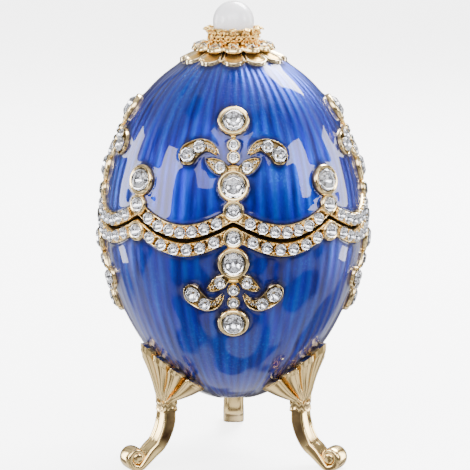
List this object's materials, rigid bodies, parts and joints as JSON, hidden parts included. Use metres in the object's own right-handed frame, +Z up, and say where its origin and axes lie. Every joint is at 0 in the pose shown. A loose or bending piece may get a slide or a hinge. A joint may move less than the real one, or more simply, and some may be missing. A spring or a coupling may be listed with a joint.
{
  "type": "jewelled egg trinket box",
  "caption": "Enamelled egg-shaped trinket box with a lift-off lid, round crystal settings, a pearl finial and three scroll legs.",
  "frame": {"origin": "point on the standing surface straight below the pearl, at the middle of the object's footprint", "axes": "+Z up through the pearl, -Y towards the front column of crystals, +X to the right seen from the front"},
  "size_m": [0.055, 0.055, 0.0918],
  "materials": {
    "blue_enamel": "translucent glossy enamel over ribbed metal",
    "pale_gold": "polished pale gold plate",
    "clear_crystal": "faceted clear crystal, foil backed",
    "pearl": "white pearl lustre"
  },
  "bodies": {
    "root": {"lid": "blue_enamel", "bowl": "blue_enamel", "leg_front_right": "pale_gold", "leg_back": "pale_gold", "leg_front_left": "pale_gold", "petal_collar": "pale_gold", "crystal_collar": "pale_gold", "filigree_cup": "pale_gold", "pearl": "pearl", "crystal_front_top": "clear_crystal", "crystal_front_upper": "clear_crystal", "crystal_front_above_seam": "clear_crystal", "crystal_front_below_seam": "clear_crystal", "crystal_front_lower": "clear_crystal", "crystal_front_bottom": "clear_crystal", "crystal_right_top": "clear_crystal", "crystal_right_upper": "clear_crystal", "crystal_right_above_seam": "clear_crystal", "crystal_right_below_seam": "clear_crystal", "crystal_right_lower": "clear_crystal", "crystal_right_bottom": "clear_crystal", "crystal_back_top": "clear_crystal", "crystal_back_upper": "clear_crystal", "crystal_back_above_seam": "clear_crystal", "crystal_back_below_seam": "clear_crystal", "crystal_back_lower": "clear_crystal", "crystal_back_bottom": "clear_crystal", "crystal_left_top": "clear_crystal", "crystal_left_upper": "clear_crystal", "crystal_left_above_seam": "clear_crystal", "crystal_left_below_seam": "clear_crystal", "crystal_left_lower": "clear_crystal", "crystal_left_bottom": "clear_crystal", "crystal_front_right_upper": "clear_crystal", "crystal_front_right_above_seam": "clear_crystal", "crystal_front_right_below_seam": "clear_crystal", "crystal_back_right_upper": "clear_crystal", "crystal_back_right_above_seam": "clear_crystal", "crystal_back_right_below_seam": "clear_crystal", "crystal_back_left_upper": "clear_crystal", "crystal_back_left_above_seam": "clear_crystal", "crystal_back_left_below_seam": "clear_crystal", "crystal_front_left_upper": "clear_crystal", "crystal_front_left_above_seam": "clear_crystal", "crystal_front_left_below_seam": "clear_crystal"}
  },
  "joints": []
}
